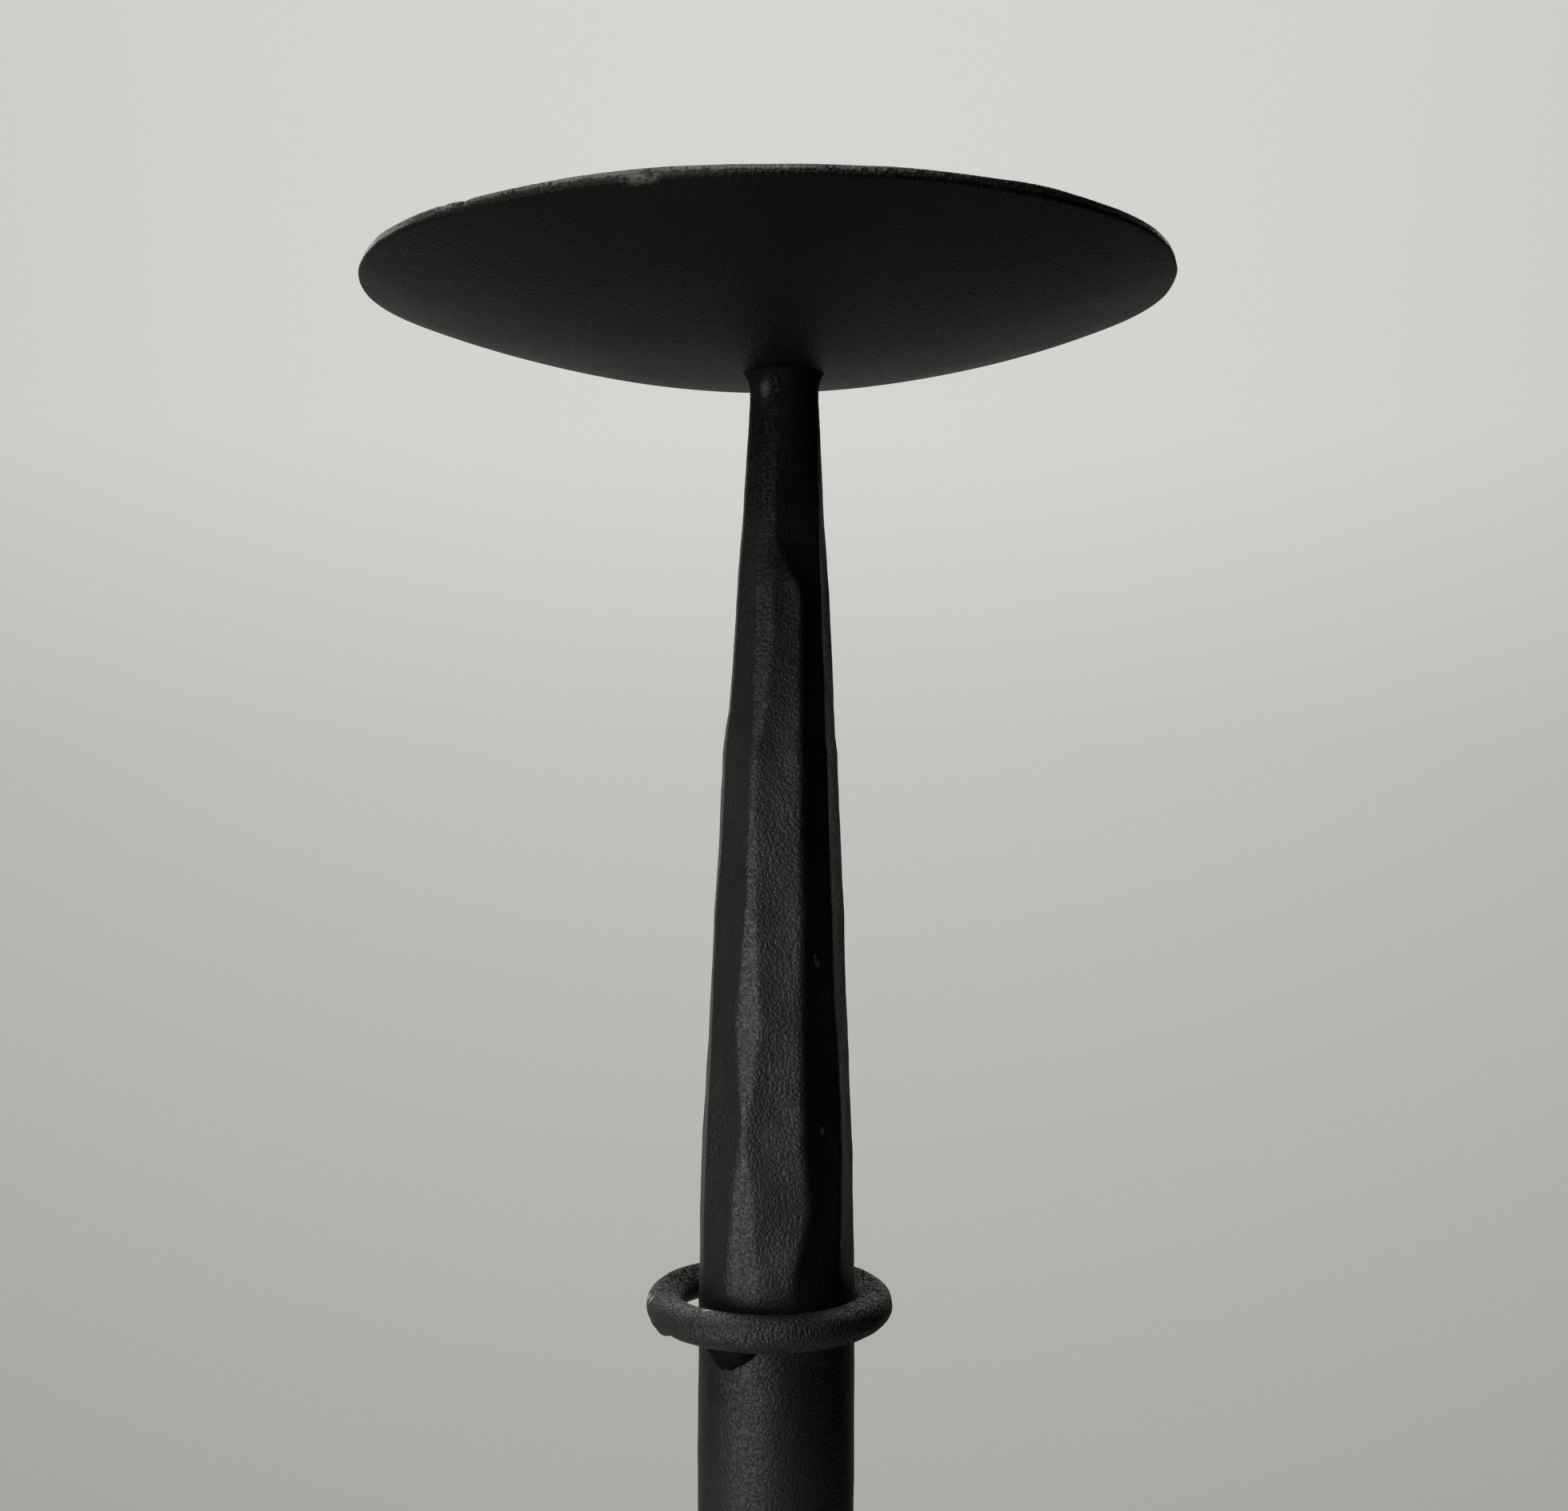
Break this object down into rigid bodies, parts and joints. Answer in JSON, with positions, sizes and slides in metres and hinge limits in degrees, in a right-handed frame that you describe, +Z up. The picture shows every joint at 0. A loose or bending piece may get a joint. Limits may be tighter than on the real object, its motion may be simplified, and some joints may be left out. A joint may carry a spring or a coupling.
{
  "type": "candlestick",
  "caption": "Hammered black iron pricket candlestick: faceted tapering stem, shallow dished drip pan, loose ring round the shaft and a round dished foot.",
  "frame": {"origin": "on the floor, at the centre of the round foot, under the bar's axis", "axes": "+Z up along the bar; the side seen in the picture faces -Y, with +X to the right"},
  "size_m": [0.1494, 0.1494, 0.4341],
  "materials": {
    "sheet_black": "matt black paint on beaten iron sheet",
    "forged_black": "satin black paint on hammered iron bar",
    "ring_black": "satin black paint, rubbed where the ring touches",
    "spike_iron": "black paint worn to dark iron at the point"
  },
  "bodies": {
    "candlestick": {"drip_pan": "sheet_black", "pan_weld": "forged_black", "pricket": "spike_iron", "stem": "forged_black", "ring_rests": "forged_black", "foot": "sheet_black", "foot_rove": "sheet_black"},
    "ring": {"ring": "ring_black"}
  },
  "joints": [
    {"name": "ring_lift", "type": "slide", "parent": "candlestick", "child": "ring", "axis": [0, 0, 1], "range_m": [0, 0.128]}
  ]
}
